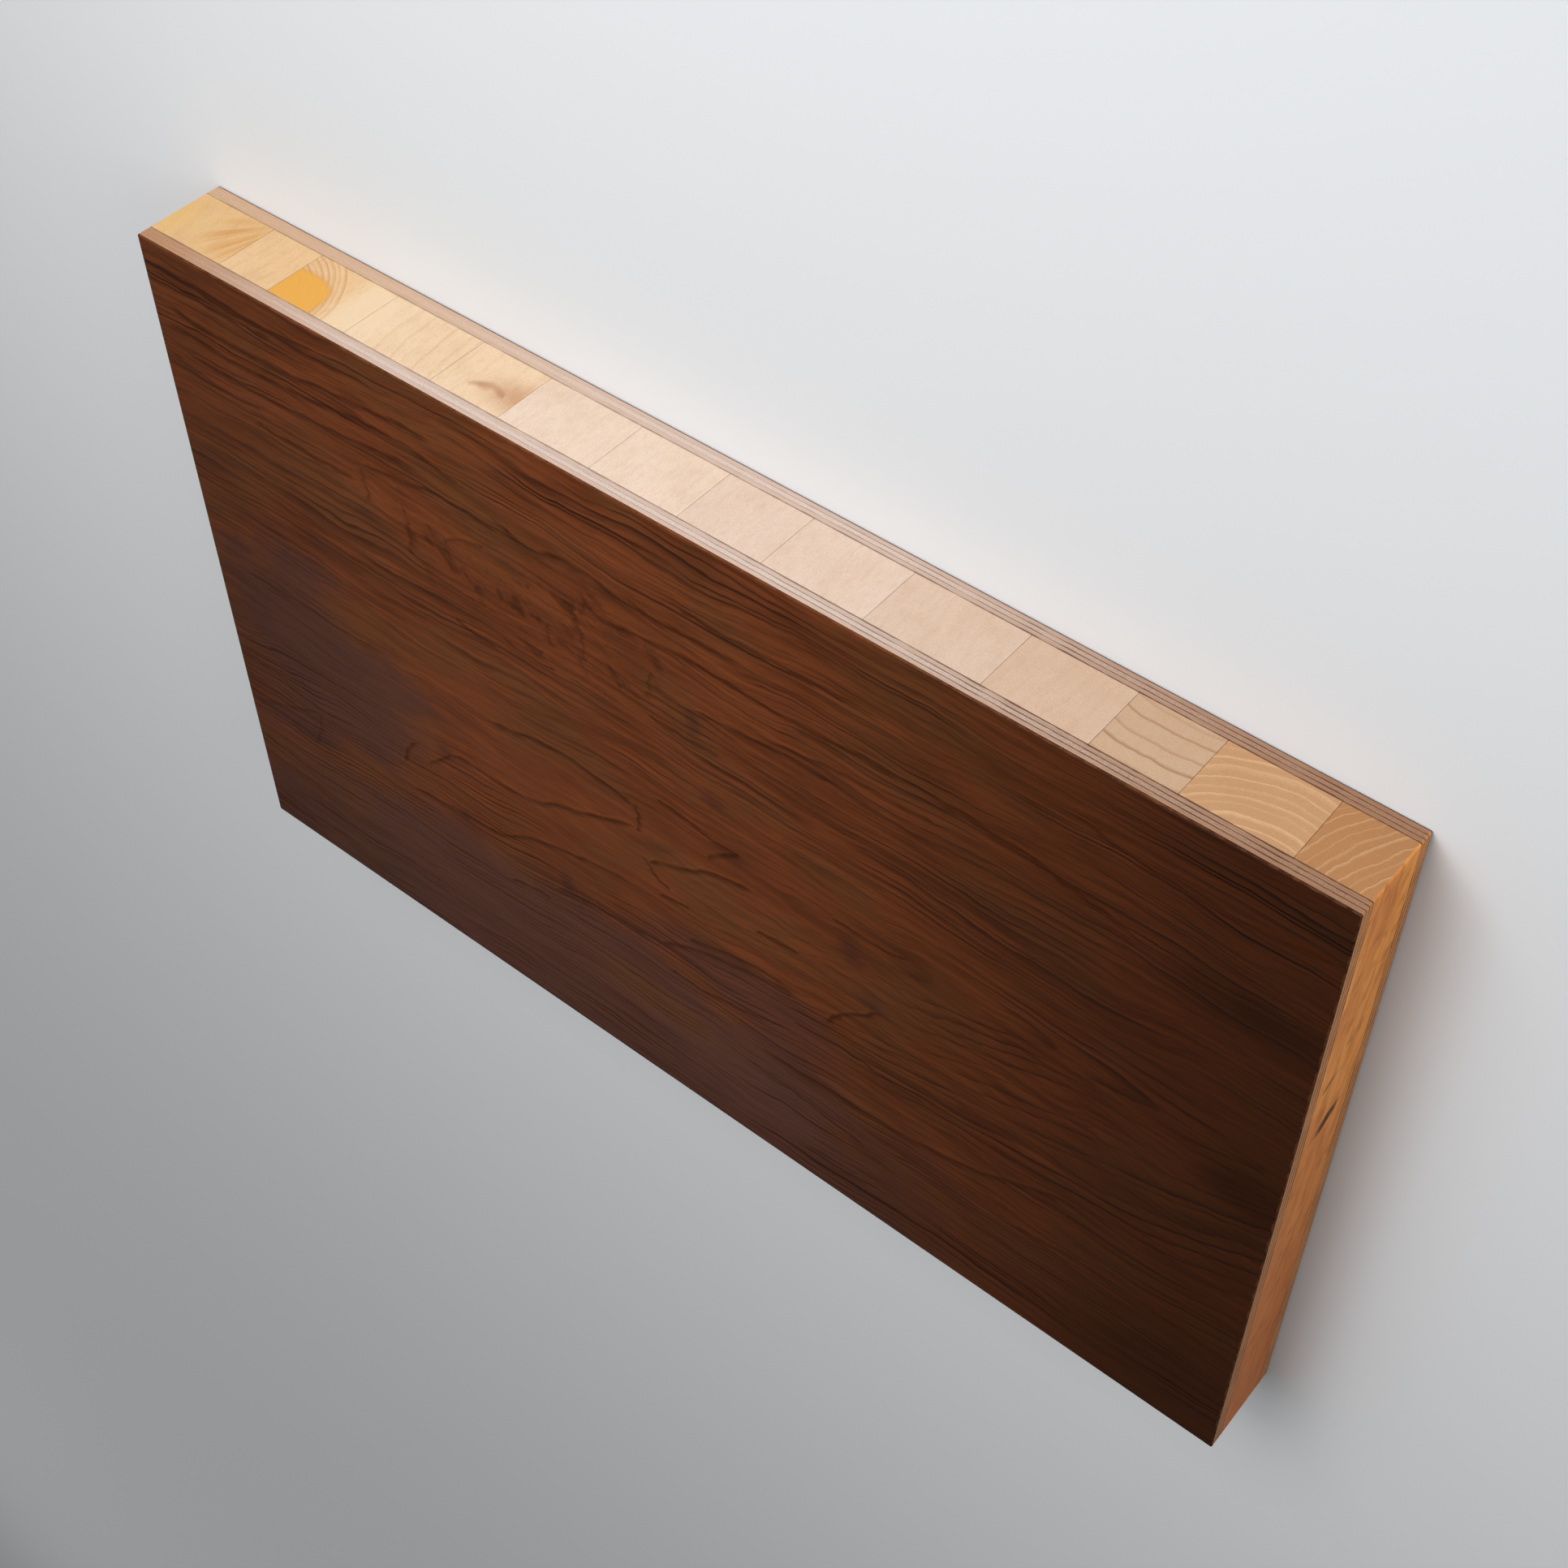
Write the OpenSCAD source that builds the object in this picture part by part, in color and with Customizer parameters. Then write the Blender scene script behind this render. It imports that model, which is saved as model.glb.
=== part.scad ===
// Blockboard panel: a core of softwood strips laid edge to edge, a skin of crossed plies
// on each side and a thin dark veneer over each skin. The layers are pressed, then sawn
// to size and sanded as one panel, so one block trims them all.
// The panel lies flat with its back on z = 0. X is its length, Y is its width.

/* [Panel] */
// Length of the sawn panel, across the core strips
panel_l = 320; // [60:1:600]
// Width of the sawn panel, along the core strips
panel_w = 200; // [60:1:600]
// Sanded flat on every outer arris, measured along each face
arris = 0.3; // [0.1:0.05:1]

/* [Skins] */
// Thickness of the dark veneer on each side
veneer_t = 0.4; // [0.3:0.05:2]
// Thickness of one ply
ply_t = 1.2; // [0.6:0.1:4]
// Plies in each skin
plies_per_skin = 3; // [1:1:5]

/* [Core] */
// Thickness of the core strips
core_t = 17; // [8:0.5:50]
// Widths of the core strips in the order they are laid, repeated along a longer panel
strip_widths = [23.5, 16, 24.5, 26.5, 20, 26, 24, 22, 25.5, 28, 24.5, 19.5, 24, 21]; // [10:0.5:40]
// Open hairline between two neighbouring strips
joint_gap = 0.1; // [0.05:0.05:0.6]
// Planed flat on the long arrises of each strip
strip_arris = 0.1; // [0.05:0.05:1]

/* [Hidden] */
skin_t = veneer_t + plies_per_skin * ply_t;
panel_t = core_t + 2 * skin_t;
// Narrowest strip that is left at the last saw cut
strip_least_w = min(strip_widths) / 4;

// Position of a strip's first side from the panel's left end, with the widths repeated in turn
function strip_start(i) =
    i == 0 ? 0 : strip_start(i - 1) + strip_widths[(i - 1) % len(strip_widths)];
// Strips that start far enough from the right end to leave more than a sliver there
function strips_from(i) =
    strip_start(i) > panel_l - strip_least_w ? 0 : 1 + strips_from(i + 1);
strip_count = max(1, strips_from(0));

function face_ply_name(n) = str("face_ply_", n);
function back_ply_name(n) = str("back_ply_", n);
function strip_name(n) = str("core_strip_", n < 10 ? "0" : "", n);

veneer_colour = [0.36, 0.20, 0.12];
cross_ply_colour = [0.80, 0.66, 0.54];
long_ply_colour = [0.70, 0.53, 0.41];
strip_colours = [[0.88, 0.74, 0.54], [0.90, 0.80, 0.66], [0.85, 0.70, 0.50]];

// Rectangle round the origin with a flat on each corner
module eased_rectangle(w, h, flat) {
    x = w / 2;
    y = h / 2;
    polygon([
        [x - flat, -y], [x, -y + flat], [x, y - flat], [x - flat, y],
        [-x + flat, y], [-x, y - flat], [-x, -y + flat], [-x + flat, -y]
    ]);
}

// The finished panel as one block with every arris sanded
module sanded_block() {
    intersection() {
        linear_extrude(panel_t)
            eased_rectangle(panel_l, panel_w, arris);
        translate([0, panel_w / 2, panel_t / 2])
            rotate([90, 0, 0])
                linear_extrude(panel_w)
                    eased_rectangle(panel_l, panel_t, arris);
        translate([-panel_l / 2, 0, panel_t / 2])
            rotate([90, 0, 90])
                linear_extrude(panel_l)
                    eased_rectangle(panel_w, panel_t, arris);
    }
}

// Saws and sands a layer as the whole panel is
module trimmed() {
    intersection() {
        children();
        sanded_block();
    }
}

// A full sheet between two heights
module sheet(low, high) {
    translate([-panel_l / 2, -panel_w / 2, low])
        cube([panel_l, panel_w, high - low]);
}

// Turns a layer of the back skin into the same layer of the face skin
module face_side() {
    translate([0, 0, panel_t])
        mirror([0, 0, 1])
            children();
}

module skin_veneer() {
    trimmed()
        sheet(0, veneer_t);
}

// Ply n of a skin, counted from the veneer inwards
module skin_ply(n) {
    trimmed()
        sheet(veneer_t + (n - 1) * ply_t, veneer_t + n * ply_t);
}

function ply_colour(n) = n % 2 == 1 ? cross_ply_colour : long_ply_colour;

module face_veneer() {
    color(veneer_colour)
        face_side()
            skin_veneer();
}

module back_veneer() {
    color(veneer_colour)
        skin_veneer();
}

module face_ply(n) {
    color(ply_colour(n))
        face_side()
            skin_ply(n);
}

module back_ply(n) {
    color(ply_colour(n))
        skin_ply(n);
}

// Core strip n, counted from the left end: the saw takes the outer arrises of the first and last
module core_strip(n) {
    sawn_off = 2 * strip_arris;
    low = n == 1 ? -sawn_off : strip_start(n - 1) + joint_gap / 2;
    high = n == strip_count ? panel_l + sawn_off : strip_start(n) - joint_gap / 2;
    color(strip_colours[n % len(strip_colours)])
        trimmed()
            translate([(low + high) / 2 - panel_l / 2, panel_w / 2, panel_t / 2])
                rotate([90, 0, 0])
                    linear_extrude(panel_w)
                        eased_rectangle(high - low, core_t, strip_arris);
}

face_veneer();
back_veneer();
for (n = [1 : plies_per_skin]) {
    face_ply(n);
    back_ply(n);
}
for (n = [1 : strip_count]) {
    core_strip(n);
}
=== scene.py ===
import bpy
from mathutils import Matrix, Vector


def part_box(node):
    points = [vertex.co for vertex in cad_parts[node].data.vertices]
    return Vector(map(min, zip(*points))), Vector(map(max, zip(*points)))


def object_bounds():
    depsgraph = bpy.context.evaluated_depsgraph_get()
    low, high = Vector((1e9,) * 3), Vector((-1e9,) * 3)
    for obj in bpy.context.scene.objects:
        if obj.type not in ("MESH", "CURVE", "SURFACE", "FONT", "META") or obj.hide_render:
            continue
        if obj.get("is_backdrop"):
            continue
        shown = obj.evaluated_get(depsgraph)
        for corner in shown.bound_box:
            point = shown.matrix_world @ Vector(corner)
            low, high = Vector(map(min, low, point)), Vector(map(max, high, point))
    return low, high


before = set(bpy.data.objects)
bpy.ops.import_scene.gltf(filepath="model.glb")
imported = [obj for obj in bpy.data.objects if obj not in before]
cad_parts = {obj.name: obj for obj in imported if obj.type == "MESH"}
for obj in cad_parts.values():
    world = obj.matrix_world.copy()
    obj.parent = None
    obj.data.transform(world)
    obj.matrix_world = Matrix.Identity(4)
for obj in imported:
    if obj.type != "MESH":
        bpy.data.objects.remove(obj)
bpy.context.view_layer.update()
scene = bpy.context.scene
mm = 0.001
panelLow, panelHigh = (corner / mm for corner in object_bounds())  # corners of the panel in millimetres
print("panel", [round(side, 1) for side in panelHigh - panelLow], "mm,", len(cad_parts), "nodes")


def tone(red, green, blue):  # a colour as a paint chart gives it, 0 to 255
    def linear(value):
        value /= 255
        return value / 12.92 if value < 0.04045 else ((value + 0.055) / 1.055) ** 2.4
    return (linear(red), linear(green), linear(blue), 1)


# Small helpers for wiring nodes
def plug(tree, value, socket):
    if isinstance(value, bpy.types.NodeSocket):
        tree.links.new(value, socket)
    else:
        socket.default_value = value


def fill(tree, node, values):  # several sockets by name
    for label, value in values.items():
        plug(tree, value, node.inputs[label])


def calc(tree, operation, a, b=0.0, c=0.0):
    node = tree.nodes.new("ShaderNodeMath")
    node.operation = operation
    for value, socket in zip((a, b, c), node.inputs):
        plug(tree, value, socket)
    return node.outputs[0]


def times(tree, a, b):
    return calc(tree, "MULTIPLY", a, b)


def minus(tree, a, b):
    return calc(tree, "SUBTRACT", a, b)


def timesPlus(tree, a, b, c):
    return calc(tree, "MULTIPLY_ADD", a, b, c)


def vectorCalc(tree, operation, a, b=(0, 0, 0), c=(0, 0, 0)):
    node = tree.nodes.new("ShaderNodeVectorMath")
    node.operation = operation
    plug(tree, a, node.inputs[0])
    plug(tree, b, node.inputs["Scale"] if operation == "SCALE" else node.inputs[1])
    plug(tree, c, node.inputs[2])
    return node.outputs["Vector"]


def split(tree, vector):
    node = tree.nodes.new("ShaderNodeSeparateXYZ")
    plug(tree, vector, node.inputs[0])
    return node.outputs


def join(tree, x, y, z):
    node = tree.nodes.new("ShaderNodeCombineXYZ")
    fill(tree, node, {"X": x, "Y": y, "Z": z})
    return node.outputs[0]


def step(tree, value, start, end, before=0.0, after=1.0):  # soft step between two amounts
    node = tree.nodes.new("ShaderNodeMapRange")
    node.interpolation_type = "SMOOTHSTEP"
    node.clamp = False  # a smooth step stays in its range by itself
    fill(tree, node, {"Value": value, "From Min": start, "From Max": end, "To Min": before, "To Max": after})
    return node.outputs[0]


def noise(tree, place, scale=1.0, detail=2.0, roughness=0.5):  # scale is one number, or one for each axis
    if isinstance(scale, tuple):
        place = vectorCalc(tree, "MULTIPLY", place, scale)
        scale = 1.0
    node = tree.nodes.new("ShaderNodeTexNoise")
    fill(tree, node, {"Vector": place, "Scale": scale, "Detail": detail, "Roughness": roughness})
    return node.outputs["Fac"]


def lineNoise(tree, along, detail=1.0):
    node = tree.nodes.new("ShaderNodeTexNoise")
    node.noise_dimensions = "1D"
    fill(tree, node, {"W": along, "Scale": 1.0, "Detail": detail})
    return node.outputs["Fac"]


def blend(tree, amount, a, b):
    node = tree.nodes.new("ShaderNodeMix")
    node.data_type = "RGBA"
    plug(tree, amount, node.inputs["Factor"])
    plug(tree, a, node.inputs[6])
    plug(tree, b, node.inputs[7])
    return node.outputs[2]


def tint(tree, colour, other, mask, amount):  # the other colour where the mask is
    return blend(tree, times(tree, mask, amount), colour, other)


def newGroup(name, inputs, outputs, outputKind="NodeSocketFloat"):
    group = bpy.data.node_groups.new(name, "ShaderNodeTree")
    for label, value in inputs.items():
        kind = "NodeSocketVector" if isinstance(value, tuple) else "NodeSocketFloat"
        socket = group.interface.new_socket(label, in_out="INPUT", socket_type=kind)
        socket.default_value = value
    for label in outputs:
        group.interface.new_socket(label, in_out="OUTPUT", socket_type=outputKind)
    start = group.nodes.new("NodeGroupInput")
    end = group.nodes.new("NodeGroupOutput")
    return group, start.outputs, end.inputs


def useGroup(tree, group, **values):
    node = tree.nodes.new("ShaderNodeGroup")
    node.node_tree = group
    fill(tree, node, values)
    return node.outputs


# Lengths are in millimetres from here on. A step is given as its start, its end and its two amounts.

# Fine streaks of fibre: Stretch is the size of one streak
fibreLook = {"streak": (0.3, 0.7), "fleck": (0.58, 0.72), "fleckScale": 2.3}


def makeFibreGroup():
    look = fibreLook
    inputs = {"Place": (0, 0, 0), "Stretch": (1, 1, 1)}
    group, start, end = newGroup("woodFibre", inputs, ["Streak", "Fleck"])
    place = vectorCalc(group, "DIVIDE", start["Place"], start["Stretch"])
    streak = noise(group, place, detail=3, roughness=0.6)
    fleck = noise(group, place, look["fleckScale"], detail=1)
    plug(group, step(group, streak, *look["streak"]), end["Streak"])
    plug(group, step(group, fleck, *look["fleck"]), end["Fleck"])
    return group


# Growth rings round a pith that runs along Y
ringLook = {
    "wanderScale": (0.12, 0.012, 0.12),
    "wanderSpan": 4.0,
    "unevenScale": 0.6,
    "crest": 0.93,  # where in a ring its late wood is darkest
    "boldScale": 3.7,
    "bold": (0.3, 0.65, 0.35, 1.0),
}


def makeRingGroup():
    look = ringLook
    inputs = {"Place": (0, 0, 0), "PithX": 0.0, "PithZ": 0.0, "Width": 3.0, "Wander": 0.6, "Uneven": 1.4,
              "Sharp": 0.6}
    group, start, end = newGroup("growthRings", inputs, ["Late", "Radius"])
    sides = split(group, start["Place"])
    slow = minus(group, noise(group, start["Place"], look["wanderScale"], detail=3), 0.5)
    wander = times(group, slow, times(group, start["Wander"], look["wanderSpan"]))
    across = minus(group, sides["X"], start["PithX"])
    up = minus(group, sides["Z"], start["PithZ"])
    radius = calc(group, "SQRT", timesPlus(group, across, across, times(group, up, up)))
    radius = calc(group, "ADD", radius, wander)
    phase = calc(group, "DIVIDE", radius, start["Width"])
    uneven = lineNoise(group, times(group, phase, look["unevenScale"]))
    phase = timesPlus(group, uneven, start["Uneven"], phase)
    ring = calc(group, "FRACT", phase)
    rise = step(group, ring, start["Sharp"], look["crest"])
    late = times(group, rise, step(group, ring, look["crest"], 1.0, 1.0, 0.0))
    ringNumber = calc(group, "FLOOR", phase)
    bold = lineNoise(group, times(group, ringNumber, look["boldScale"]))
    plug(group, times(group, late, step(group, bold, *look["bold"])), end["Late"])
    plug(group, radius, end["Radius"])
    return group


# Dark glue where a layer meets its neighbours, at the heights Low and High
glueLook = {"swellScale": (0.11, 0.11, 0.0), "swell": (0.3, 0.7, 0.35, 1.5), "solid": 0.35}


def makeGlueGroup():
    look = glueLook
    inputs = {"Place": (0, 0, 0), "Low": 0.0, "High": 1.0, "Width": 0.15}
    group, start, end = newGroup("glueLine", inputs, ["Mask"])
    z = split(group, start["Place"])["Z"]
    above = minus(group, z, start["Low"])
    below = minus(group, start["High"], z)
    gap = calc(group, "MINIMUM", above, below)
    swell = noise(group, start["Place"], look["swellScale"], detail=3, roughness=0.6)
    width = times(group, start["Width"], step(group, swell, *look["swell"]))
    solid = times(group, width, look["solid"])
    plug(group, step(group, gap, solid, width, 1.0, 0.0), end["Mask"])
    return group


# Rubbed arrises of the whole panel
wearLook = {"scale": 0.35, "reach": (0.3, 0.75, 0.2, 1.6)}


def makeWearGroup():
    look = wearLook
    group, start, end = newGroup("arrisWear", {"Place": (0, 0, 0), "Width": 0.8}, ["Mask"])
    middle = (panelLow + panelHigh) / 2
    half = (panelHigh - panelLow) / 2
    inside = []
    for axis, value in enumerate(split(group, start["Place"])):
        away = calc(group, "ABSOLUTE", minus(group, value, middle[axis]))
        inside.append(minus(group, half[axis], away))
    a, b, c = inside
    smaller = calc(group, "MINIMUM", a, b)
    larger = calc(group, "MAXIMUM", a, b)
    second = calc(group, "MAXIMUM", smaller, calc(group, "MINIMUM", larger, c))  # the middle one of the three
    rough = noise(group, start["Place"], look["scale"], detail=4, roughness=0.65)
    reach = times(group, start["Width"], step(group, rough, *look["reach"]))
    plug(group, step(group, second, 0.0, reach, 1.0, 0.0), end["Mask"])
    return group


# Three dark grain lines: Part runs from 0 to 1 along each, Height is its curve, SoFar the nearest line yet
lineLook = {"endFade": (-16, -16, -16), "endStart": (1.4, 1.4, 1.4)}  # each line fades at both ends


def makeLineGroup():
    look = lineLook
    inputs = {"Part": (0.5, 0.5, 0.5), "Height": (0, 0, 0), "Across": (0, 0, 0), "Thin": (1, 1, 1),
              "Faint": (0, 0, 0), "SoFar": (99, 99, 99)}
    group, start, end = newGroup("grainLines", inputs, ["Nearest"], "NodeSocketVector")
    part = start["Part"]
    offset = vectorCalc(group, "SUBTRACT", start["Across"], start["Height"])
    gap = vectorCalc(group, "ABSOLUTE", offset)
    inside = vectorCalc(group, "SUBTRACT", part, vectorCalc(group, "MULTIPLY", part, part))
    past = vectorCalc(group, "MULTIPLY_ADD", inside, look["endFade"], look["endStart"])
    past = vectorCalc(group, "MAXIMUM", past, start["Faint"])
    far = vectorCalc(group, "MULTIPLY_ADD", gap, start["Thin"], past)
    plug(group, vectorCalc(group, "MINIMUM", start["SoFar"], far), end["Nearest"])
    return group


# A spot of another colour: round where Square is 2, squarish where it is more
def makeSpotGroup():
    inputs = {"Place": (0, 0, 0), "Centre": (0, 0, 0), "Size": (1, 1, 1), "Slant": 0.0, "Square": 2.0,
              "Soft": 0.5, "Ragged": 0.1, "Rough": 0.5}
    group, start, end = newGroup("softSpot", inputs, ["Mask"])
    x, y, z = split(group, vectorCalc(group, "SUBTRACT", start["Place"], start["Centre"]))
    y = timesPlus(group, z, start["Slant"], y)
    parts = split(group, vectorCalc(group, "DIVIDE", join(group, x, y, z), start["Size"]))
    total = 0.0
    for part in parts:
        power = calc(group, "POWER", calc(group, "ABSOLUTE", part), start["Square"])
        total = calc(group, "ADD", power, total)
    far = calc(group, "POWER", total, calc(group, "DIVIDE", 1.0, start["Square"]))
    far = timesPlus(group, minus(group, start["Rough"], 0.5), start["Ragged"], far)
    inner = minus(group, 1.0, start["Soft"])
    plug(group, step(group, far, inner, 1.0, 1.0, 0.0), end["Mask"])
    return group


# Figure of a sliced veneer: growth layers cut along the grain, nested in tongues round an axis
figureLook = {
    "swayScale": (0.010, 0.022, 0.0),
    "driftScale": (0.04, 0.09, 0.0),
    "drift": 3.4,
    "waveScale": (0.16, 0.4, 0.0),
    "wave": 0.8,
    "unevenScale": 0.45,
    "uneven": 2.0,
    "rise": (0.2, 0.9),
    "sharp": 3.0,
    "fall": (0.9, 1.0, 1.0, 0.0),
    "boldScale": 5.3,
    "bold": (0.3, 0.65, 0.25, 1.0),
    "fadeScale": (0.018, 0.08, 0.0),
    "fade": (0.34, 0.60, 0.1, 1.0),
    "shadeScale": (0.010, 0.045, 0.0),
    "poreScale": (0.035, 1.0, 0.0),
    "pore": (0.42, 0.75),
    "rippleScale": (0.04, 0.34, 0.0),
}


def makeFigureGroup():
    look = figureLook
    inputs = {"Place": (0, 0, 0), "Axis Y": 0.0, "Axis Slope": 0.1, "Reach": 35.0, "Depth": 9.0,
              "Width": 2.4, "Sway": 14.0}
    outputs = ["Line", "Shade", "Pore", "Ripple", "Heart", "Wave"]
    group, start, end = newGroup("veneerFigure", inputs, outputs)
    place = start["Place"]
    x, y, z = split(group, place)

    def swing(scale, detail):  # noise around nought
        return minus(group, noise(group, place, scale, detail), 0.5)

    moved = timesPlus(group, swing(look["swayScale"], 2), start["Sway"], y)
    moved = timesPlus(group, swing(look["driftScale"], 2), look["drift"], moved)
    wave = swing(look["waveScale"], 1)
    moved = timesPlus(group, wave, look["wave"], moved)
    off = minus(group, moved, start["Axis Y"])
    far = calc(group, "DIVIDE", off, start["Reach"])
    heart = calc(group, "DIVIDE", 1.0, timesPlus(group, far, far, 1.0))  # 1 on the axis, less away from it
    lean = times(group, times(group, heart, start["Axis Slope"]), x)
    off = minus(group, off, lean)
    depth = times(group, start["Depth"], start["Depth"])
    cone = calc(group, "SQRT", timesPlus(group, off, off, depth))
    phase = calc(group, "DIVIDE", calc(group, "ADD", cone, lean), start["Width"])
    uneven = lineNoise(group, times(group, phase, look["unevenScale"]))
    phase = timesPlus(group, uneven, look["uneven"], phase)
    ring = calc(group, "FRACT", phase)
    rise = calc(group, "POWER", step(group, ring, *look["rise"]), look["sharp"])
    late = times(group, rise, step(group, ring, *look["fall"]))
    layerNumber = calc(group, "FLOOR", phase)
    bold = lineNoise(group, times(group, layerNumber, look["boldScale"]))
    bold = step(group, bold, *look["bold"])
    fade = step(group, noise(group, place, look["fadeScale"]), *look["fade"])
    plug(group, times(group, late, times(group, bold, fade)), end["Line"])
    drift = join(group, x, moved, z)
    plug(group, noise(group, drift, look["shadeScale"], detail=4, roughness=0.6), end["Shade"])
    pores = noise(group, drift, look["poreScale"], detail=4, roughness=0.65)
    plug(group, step(group, pores, *look["pore"]), end["Pore"])
    plug(group, noise(group, drift, look["rippleScale"], detail=3, roughness=0.55), end["Ripple"])
    plug(group, heart, end["Heart"])
    plug(group, wave, end["Wave"])
    return group


woodFibre = makeFibreGroup()
growthRings = makeRingGroup()
glueLine = makeGlueGroup()
arrisWear = makeWearGroup()
grainLines = makeLineGroup()
softSpot = makeSpotGroup()
veneerFigure = makeFigureGroup()
print("node groups", [group.name for group in bpy.data.node_groups])


def newMaterial(name, gloss):
    material = bpy.data.materials.new(name)
    material.use_nodes = True
    tree = material.node_tree
    shader = tree.nodes["Principled BSDF"]
    shader.inputs["Specular IOR Level"].default_value = gloss
    objectPlace = tree.nodes.new("ShaderNodeTexCoord").outputs["Object"]
    return material, tree, shader, vectorCalc(tree, "SCALE", objectPlace, 1 / mm)


def bump(tree, shader, height):
    node = tree.nodes.new("ShaderNodeBump")
    node.inputs["Distance"].default_value = mm
    plug(tree, height, node.inputs["Height"])
    plug(tree, node.outputs[0], shader.inputs["Normal"])


def dress(nodeName, material):
    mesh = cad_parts[nodeName].data
    mesh.materials.clear()
    mesh.materials.append(material)


def drawThree(tree, along, across, lines, nearest):  # three lines that run the same way
    widths, faints, curves = zip(*lines)
    starts, spans, lows, rises = [], [], [], []
    for points in curves:
        places, heights = zip(*points)
        starts.append(places[0])
        spans.append(places[-1] - places[0])
        lows.append(min(heights))
        rises.append(max(heights) - min(heights))
    shares = [1 / span for span in spans]
    offsets = [-start / span for start, span in zip(starts, spans)]
    part = vectorCalc(tree, "MULTIPLY_ADD", along, shares, offsets)
    node = tree.nodes.new("ShaderNodeVectorCurve")
    for number, points in enumerate(curves):
        line = node.mapping.curves[number]
        while len(line.points) < len(points):
            line.points.new(0.5, 0.5)
        for point, (place, height) in zip(line.points, points):
            share = (place - starts[number]) / spans[number]
            point.location = (share, (height - lows[number]) / rises[number])
    node.mapping.update()
    plug(tree, part, node.inputs["Vector"])
    height = vectorCalc(tree, "MULTIPLY_ADD", node.outputs[0], rises, lows)
    thin = [1 / width for width in widths]
    drawn = useGroup(tree, grainLines, Part=part, Height=height, Across=across, Thin=thin, Faint=faints,
                     SoFar=nearest)
    return drawn["Nearest"]


def drawLines(tree, x, y, lines):  # how far the nearest line is, in half widths
    level, steep = [], []
    for width, faint, points in lines:
        if abs(points[-1][0] - points[0][0]) >= abs(points[-1][1] - points[0][1]):
            level.append((width, faint, sorted(points)))
        else:
            steep.append((width, faint, sorted((up, side) for side, up in points)))
    x, y = (join(tree, value, value, value) for value in (x, y))
    nearest = (99, 99, 99)
    for along, across, chosen in ((x, y, level), (y, x, steep)):
        for first in range(0, len(chosen), 3):
            three = (chosen[first:first + 3] + chosen[:1] * 2)[:3]
            nearest = drawThree(tree, along, across, three, nearest)
    a, b, c = split(tree, nearest)
    return calc(tree, "MINIMUM", calc(tree, "MINIMUM", a, b), c)


# Dark veneers
veneerLook = {
    "brown": tone(94, 47, 22),
    "pale": tone(116, 60, 30),
    "olive": tone(96, 58, 30),
    # painted reflection: the greyish purple and the pale pink below are a sheen of the room on the satin
    # face, painted as colour
    "mauveSheen": tone(80, 50, 41),
    "pinkSheen": tone(92, 60, 50),
    "shadow": tone(58, 34, 30),
    "dusk": tone(28, 16, 9),
    "deep": tone(45, 21, 9),
    "line": tone(44, 20, 8),
    "stroke": tone(58, 26, 6),
    "rubbed": tone(140, 92, 60),
    "gloss": 0.03,
    "roughness": (0.42, 0.56),  # between the pores and in them
    "shadeLight": (0.3, 0.7, 0.0, 0.8),
    "rippleLight": (0.46, 0.66),
    "rippleAmount": 0.5,
    "hueScale": (0.022, 0.035, 0.0),
    "oliveHue": (0.45, 0.62, 0.0, 0.6),
    # painted shade: darker towards the right end, the left end and the front edge; at the right end it is
    # partly the veneer's own darker tone
    "deepAndShadeRight": (0.0, 165.0, 0.0, 0.85),
    "paintedShadeLeft": (-70.0, -170.0, 0.0, 0.35),
    "paintedShadeFront": (-50.0, -110.0, 0.0, 0.18),
    "curlSlant": (0.3, 0.15),
    "curlScale": (0.12, 0.13, 0.0),
    "curlDark": (-0.02, -0.15, 0.0, 0.55),
    "curlPale": (0.02, 0.16, 0.0, 0.35),
    "curlQuiet": 0.7,
    "quiet": 0.65,  # how far pores and ripples fade in a quiet place
    "poreAmount": 0.36,
    "rippleDark": (0.3, 0.5, 0.3, 0.0),
    "linesAtHeart": (0.45, 0.95, 0.95, 0.15),
    "linesAtRight": (30.0, 110.0, 0.0, 0.75),
    "curlHides": 0.6,  # how far the lines fade in the curl
    "duskLines": (40.0, 140.0),
    "bend": (3.0, 2.2),  # how far the drawn lines follow the wave of the grain
    "brokenScale": (0.1, 0.3, 0.0),
    "broken": (0.3, 0.6, 0.45, 0.9),
    "strokeEdge": (0.0, 1.1, 1.0, 0.0),
    "strokeSwell": (0.0, 1.7, 1.0, 0.0),
    "rippleHeight": 1.0,
    "ridgeHeight": 0.32,
    "poreDepth": 0.06,
    "curlHeight": 1.8,
    "strokeHeight": 0.3,
    "wearWidth": 0.5,
    "wearAmount": 0.35,
}
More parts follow.
